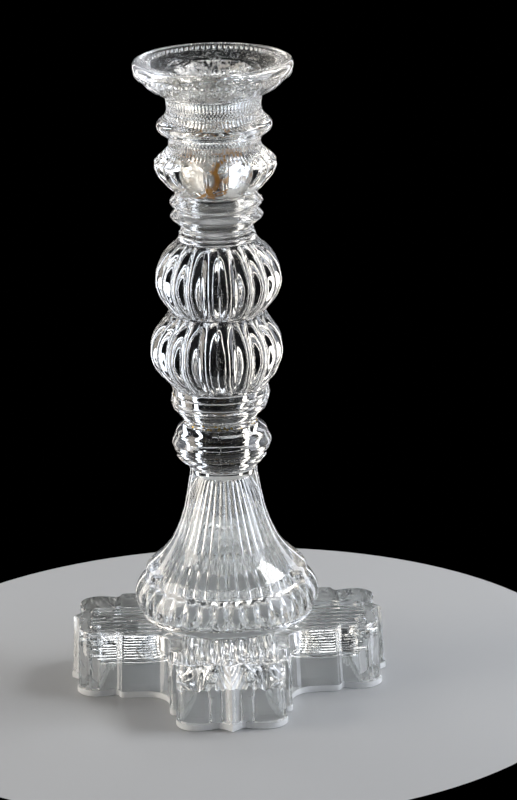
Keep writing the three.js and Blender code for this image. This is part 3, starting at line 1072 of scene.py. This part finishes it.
def prism(outline, layers):
    """A closed body: the outline, extruded through layers of a spread and a height."""
    bm = bmesh.new()
    spread, height = layers[0]
    floor = bm.faces.new([bm.verts.new((p.x * spread, p.y * spread, height)) for p in outline])
    top = floor
    for spread, height in layers[1:]:
        grown = bmesh.ops.extrude_face_region(bm, geom=[top])["geom"]
        top = next(item for item in grown if isinstance(item, bmesh.types.BMFace))
        before = top.verts[0].co.xy.length
        share = outline[0].length * spread / before
        bmesh.ops.scale(bm, vec=(share, share, 1), verts=top.verts)
        bmesh.ops.translate(bm, vec=(0, 0, height - top.verts[0].co.z), verts=top.verts)
        bm.normal_update()
    kept = {floor, top}
    inside = [face for face in bm.faces if face not in kept and abs(face.normal.z) > LEVEL]
    bmesh.ops.delete(bm, geom=inside, context="FACES_ONLY")
    bmesh.ops.recalc_face_normals(bm, faces=bm.faces)
    return bm


def round_level_edges(bm, height, offset, segments):
    """Rounds the arris that runs round the body at one height."""
    edges = [e for e in bm.edges if all(abs(v.co.z - height) < SAME_HEIGHT for v in e.verts)]
    bmesh.ops.bevel(
        bm,
        geom=edges,
        offset=offset,
        offset_type="OFFSET",
        affect="EDGES",
        segments=segments,
        profile=0.5,
        material=-1,
        clamp_overlap=True,
    )


FOOT_HEIGHT = 25.4
RIM_HEIGHT = 2.8
REACH = 60.0
wall_layers = [
    (1 - 0.3 / REACH, 0), (1, 0.3), (1, RIM_HEIGHT - 0.3), (1 - 0.5 / REACH, RIM_HEIGHT + 0.3),
    (1 - 1.5 / REACH, FOOT_HEIGHT),
]
walls = prism(foot_outline, wall_layers)
round_level_edges(walls, FOOT_HEIGHT, 0.9, 3)
print(f"walls: {len(walls.verts)} vertices, volume {walls.calc_volume() / 1000:.1f} cm3")

# %% [markdown]
# ## The hollow of the foot
#
# The foot is hollow below. Its roof is not plain: nine round reeds run along each arm and on to
# its end wall, and two pins at the end of each arm left small round-ended holes in the thick
# glass above. Both show from outside as bright lines and spots. The hollow is easiest as a body
# of its own that is cut out of the walls, as the iron plunger that made it was one.
#
# The seat of the disc is cut a hundredth of a millimetre deep, only to give the fused joint its
# own faces.

# %% The plunger that made the hollow
ROOF_HEIGHT = 14.0
REED_PITCH = 3.6
REED_DEPTH = 1.0
REED_COUNT = 9
REED_STEPS = 6
REED_END = 55.0
HOLLOW_END = 52.0
HOLLOW_ARRIS = 1.4
HOLLOW_DRAFT = 1 - 0.9 / REACH
WAVY_POINTS = 20
SLAB_FLOOR = 5.0


def reed_wave(across):
    """0 on the sharp arris between two flutes of the plunger, 1 in the middle of a flute."""
    pitches = across / REED_PITCH + REED_COUNT / 2
    return abs(math.sin(math.pi * pitches))


def reed_points(numbers, end):
    """Points along the reeds' section, whose crests reach `end`."""
    arris = end - REED_DEPTH
    places = [number * REED_PITCH / REED_STEPS for number in numbers]
    return [Vector((across, arris + REED_DEPTH * reed_wave(across))) for across in places]


half_hollow = [
    Vector((17.6, 17.6)),
    Vector((17.6, 46.0)),
    *arc((11.6, 46.0), 6.0, 0, 80, 8)[1:],
    *reed_points(reversed(range(WAVY_POINTS)), HOLLOW_END),
]
points = four_arms(half_hollow)
neighbours = zip(points, [points[-1], *points])
hollow_outline = [point for point, before in neighbours if (point - before).length > SAME_HEIGHT]
hollow = prism(hollow_outline, [(1, -1), (HOLLOW_DRAFT, ROOF_HEIGHT - HOLLOW_ARRIS)])
round_level_edges(hollow, ROOF_HEIGHT - HOLLOW_ARRIS, 1.2, 3)
print(f"hollow: {len(hollow.verts)} vertices")


def reeded_slab(turned):
    """A slab with round grooves in its top, which leaves reeds in the roof of one pair of arms."""
    bm = bmesh.new()
    half_count = REED_COUNT * REED_STEPS // 2
    side = half_count * REED_PITCH / REED_STEPS
    top = reed_points(range(-half_count, half_count + 1), ROOF_HEIGHT)
    corners = [*top, Vector((side, SLAB_FLOOR)), Vector((-side, SLAB_FLOOR))]
    section = bm.faces.new([bm.verts.new((p.x, -REED_END, p.y)) for p in corners])
    grown = bmesh.ops.extrude_face_region(bm, geom=[section])["geom"]
    moved = [item for item in grown if isinstance(item, bmesh.types.BMVert)]
    bmesh.ops.translate(bm, vec=(0, 2 * REED_END, 0), verts=moved)
    bmesh.ops.rotate(bm, cent=(0, 0, 0), matrix=Matrix.Rotation(turned, 3, "Z"), verts=bm.verts)
    bmesh.ops.recalc_face_normals(bm, faces=bm.faces)
    return bm


PIN_OUTLINE = [
    (0, -3.0), (1.7, -3.0), (1.6, 2.2), (2.2, 3.2), (2.4, 4.2), (2.1, 5.3), (1.2, 6.2), (0, 6.5),
]
PIN_PLACE = (7.7, 50.0)
PIN_STEPS = 24


def pins():
    """Round-ended pins that press a small hole up into the glass between the lobes."""
    bm = bmesh.new()
    for quarter in range(4):
        turned = Matrix.Rotation(quarter * math.pi / 2, 4, "Z")
        for side in (-1, 1):
            place = turned @ Vector((side * PIN_PLACE[0], PIN_PLACE[1], ROOF_HEIGHT))
            chain = [bm.verts.new(place + Vector((x, 0, z))) for x, z in PIN_OUTLINE]
            edges = [bm.edges.new(pair) for pair in zip(chain, chain[1:])]
            full_spin(bm, chain + edges, place, PIN_STEPS)
    return bm


def cylinder(radius, low, high):
    """A plain cylinder on the axis."""
    bm = bmesh.new()
    bmesh.ops.create_cone(
        bm,
        cap_ends=True,
        segments=ROUND_STEPS,
        radius1=radius,
        radius2=radius,
        depth=high - low,
        matrix=Matrix.Translation((0, 0, (low + high) / 2)),
    )
    return bm


EYE = 23.5
DISC_SEAT = 31.4
SEAT_DEPTH = 0.01
cutters = {
    "hollow": hollow,
    "reeds_along": reeded_slab(0),
    "reeds_across": reeded_slab(math.pi / 2),
    "pins": pins(),
    "eye": cylinder(EYE, ROOF_HEIGHT - 4, FOOT_HEIGHT + 2),
    "disc_seat": cylinder(DISC_SEAT, FOOT_HEIGHT - SEAT_DEPTH, FOOT_HEIGHT + 3),
}
print("cutters:", ", ".join(cutters))

# %% [markdown]
# ## Cutting the foot
#
# The Boolean modifier takes each cutter out of the walls. The two slabs of reeds are first cut
# to the hollow's own outline, or they would reach into the walls. The evaluated mesh is then
# copied, so the finished foot is one plain closed mesh with no modifier left on it.

# %% Cut the hollow out of the walls
CUT_MERGE = 1e-3


def combine(body, tool, operation):
    """Adds an exact Boolean modifier to a body."""
    cut = body.modifiers.new(tool.name, "BOOLEAN")
    cut.operation = operation
    cut.solver = "EXACT"
    cut.object = tool


blank = as_object(walls, "foot_blank")
envelope = prism(hollow_outline, [(1, -1), (HOLLOW_DRAFT, ROOF_HEIGHT + 1)])
limit = as_object(envelope, "foot_envelope")
tools = {name: as_object(bm, f"foot_{name}") for name, bm in cutters.items()}
for name in ("reeds_along", "reeds_across"):
    combine(tools[name], limit, "INTERSECT")
for tool in tools.values():
    combine(blank, tool, "DIFFERENCE")
foot_bm = evaluated_bmesh(blank)
bmesh.ops.remove_doubles(foot_bm, verts=foot_bm.verts, dist=CUT_MERGE)
for scratch in [blank, limit, *tools.values()]:
    bpy.data.objects.remove(scratch)
open_edges = sum(not edge.is_manifold for edge in foot_bm.edges)
print(f"foot: {len(foot_bm.faces)} faces, {open_edges} open edges")

# %% [markdown]
# ## Finishes of the foot
#
# The ground rim is frosted and the ring under the disc is fused. Faces are told apart by their
# place: the rim's lie wholly below its step, and the fused ring is level and lies in the seat.
# Edges that turn by more than thirty degrees stay sharp.

# %% Foot
RIM_SLACK = 0.05
STEEPEST_LEVEL = 0.9
SHARP_TURN = math.radians(30)
foot_bm.normal_update()
foot_materials = [clear_glass, ground_glass, fused_joint]
seat_height = FOOT_HEIGHT - SEAT_DEPTH
for face in foot_bm.faces:
    off_seat = abs(face.calc_center_median().z - seat_height)
    if max(vertex.co.z for vertex in face.verts) < RIM_HEIGHT + RIM_SLACK:
        face.material_index = foot_materials.index(ground_glass)
    elif face.normal.z > STEEPEST_LEVEL and off_seat < SEAT_DEPTH / 2:
        face.material_index = foot_materials.index(fused_joint)
counts = [sum(face.material_index == i for face in foot_bm.faces) for i in range(3)]
print("faces of clear glass, ground glass and fused joint:", counts)
foot = finish_piece("foot", foot_bm, foot_materials, 0)
foot.data.set_sharp_from_angle(angle=SHARP_TURN)

# %% [markdown]
# ## The floor
#
# The stick stands on a plain pale disc. It is a tenth of a millimetre below the foot, because
# two surfaces at one height would fight.

# %% Floor
FLOOR_RADIUS = 140
FLOOR_GAP = 0.1


def lacquer(tree, place):
    """Matt paint in one pale grey."""
    return add(tree, "BsdfPrincipled", {"Base Color": linear("#aeb0b2"), "Roughness": 0.6})


floor_bm = bmesh.new()
bmesh.ops.create_circle(floor_bm, cap_ends=True, segments=128, radius=FLOOR_RADIUS * MM)
bmesh.ops.translate(floor_bm, vec=(0, 0, -FLOOR_GAP * MM), verts=floor_bm.verts)
floor = as_object(floor_bm, "floor")
floor.data.materials.append(new_material("matt pale lacquer", lacquer))
floor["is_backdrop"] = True
print(f"floor: a disc {2 * FLOOR_RADIUS} mm across")

# %% [markdown]
# ## Light
#
# Glass shows what stands round it. Here that is a dark room below the table's edge, a soft dome
# of light above it, and eight lamps round the stick. The two wide softboxes at the sides and
# the four narrow strips behind draw the bright lines along the ribs. The window is the bright
# patch on the right of the bell, and the softbox on top gives the dish its sparks.
#
# The dome belongs to the world, and three ramps make it: it rises from black at the horizon to
# a weak pale grey, darkens again overhead, and is nearly black behind the stick, as if a
# backdrop hung there. Each ramp goes by one side of the direction that a ray looks in.

# %% Dome and softboxes
scene = bpy.context.scene
world = bpy.data.worlds.new("studio")
scene.world = world
world.use_nodes = True
tree = world.node_tree
tree.nodes.clear()
direction = add(tree, "TexCoord").outputs["Generated"]
sides = add(tree, "SeparateXYZ", [direction]).outputs
rise = add(tree, "MapRange", [sides["Z"], -0.02, 0.3, 0.0, 0.15])
overhead = add(tree, "MapRange", [sides["Z"], 0.55, 0.95, 1.0, 0.25])
backdrop = add(tree, "MapRange", [sides["Y"], 0.3, 0.7, 1.0, 0.06])
dome = add(tree, "Math", [rise, overhead], operation="MULTIPLY")
strength = add(tree, "Math", [dome, backdrop], operation="MULTIPLY")
sky = add(tree, "Background", {"Color": linear("#f2f5ff"), "Strength": strength})
add(tree, "OutputWorld", {"Surface": sky})
MIDDLE_OF_STICK = Vector((0, 0, 0.12))


def softbox(name, place, width, height, power, colour="#ffffff"):
    """A rectangular lamp that looks at the stick. Sizes in metres, power in watts."""
    lamp = bpy.data.lights.new(name, "AREA")
    lamp.color = linear(colour)[:3]
    lamp.shape = "RECTANGLE"
    lamp.size = width
    lamp.size_y = height
    lamp.energy = power
    holder = bpy.data.objects.new(name, lamp)
    bpy.context.collection.objects.link(holder)
    place = Vector(place)
    aim = (MIDDLE_OF_STICK - place).to_track_quat("-Z", "Y")
    holder.matrix_world = Matrix.Translation(place) @ aim.to_matrix().to_4x4()
    print(f"{name}: {width} by {height} m, {power} W")


softbox("left softbox", (-0.9, -0.1, 0.28), 0.45, 1.2, 8.5, "#fff6ea")
softbox("right softbox", (0.9, -0.2, 0.28), 0.4, 1.2, 6, "#eef3ff")
softbox("left strip", (-0.62, 0.62, 0.2), 0.14, 1.25, 1.8, "#fff9f2")
softbox("right strip", (0.62, 0.62, 0.2), 0.14, 1.25, 1.8, "#f2f6ff")
softbox("left back strip", (-0.33, 0.78, 0.2), 0.06, 1.25, 0.75, "#fff9f2")
softbox("right back strip", (0.33, 0.78, 0.2), 0.06, 1.25, 0.75, "#f2f6ff")
softbox("window", (0.67, 0.1, 0.82), 0.5, 0.28, 6)
softbox("top softbox", (-0.1, 0.45, 1.1), 0.5, 0.2, 1.5)

# %% [markdown]
# ## Enough bounces for glass
#
# A ray that crosses the stem meets a dozen fused joints and several walls. The limits on bounces
# are raised so that it isn't cut off and drawn black.

# %% Bounces and view
scene.cycles.max_bounces = 24
scene.cycles.transmission_bounces = 24
scene.cycles.glossy_bounces = 8
scene.cycles.transparent_max_bounces = 64
scene.view_settings.view_transform = "Standard"
print("view transform:", scene.view_settings.view_transform)

# %% [markdown]
# ## The two boxes
#
# The box of the CAD model and the box of the visual model are both printed. The visual model
# has to stay inside the box of the CAD model.

# %% Print the sizes
look_low, look_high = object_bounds()
sizes = {"cad": [list(cad_low), list(cad_high)], "visual": [list(look_low), list(look_high)]}
for name, (low, high) in sizes.items():
    print(name, [round(v, 4) for v in low], [round(v, 4) for v in high])
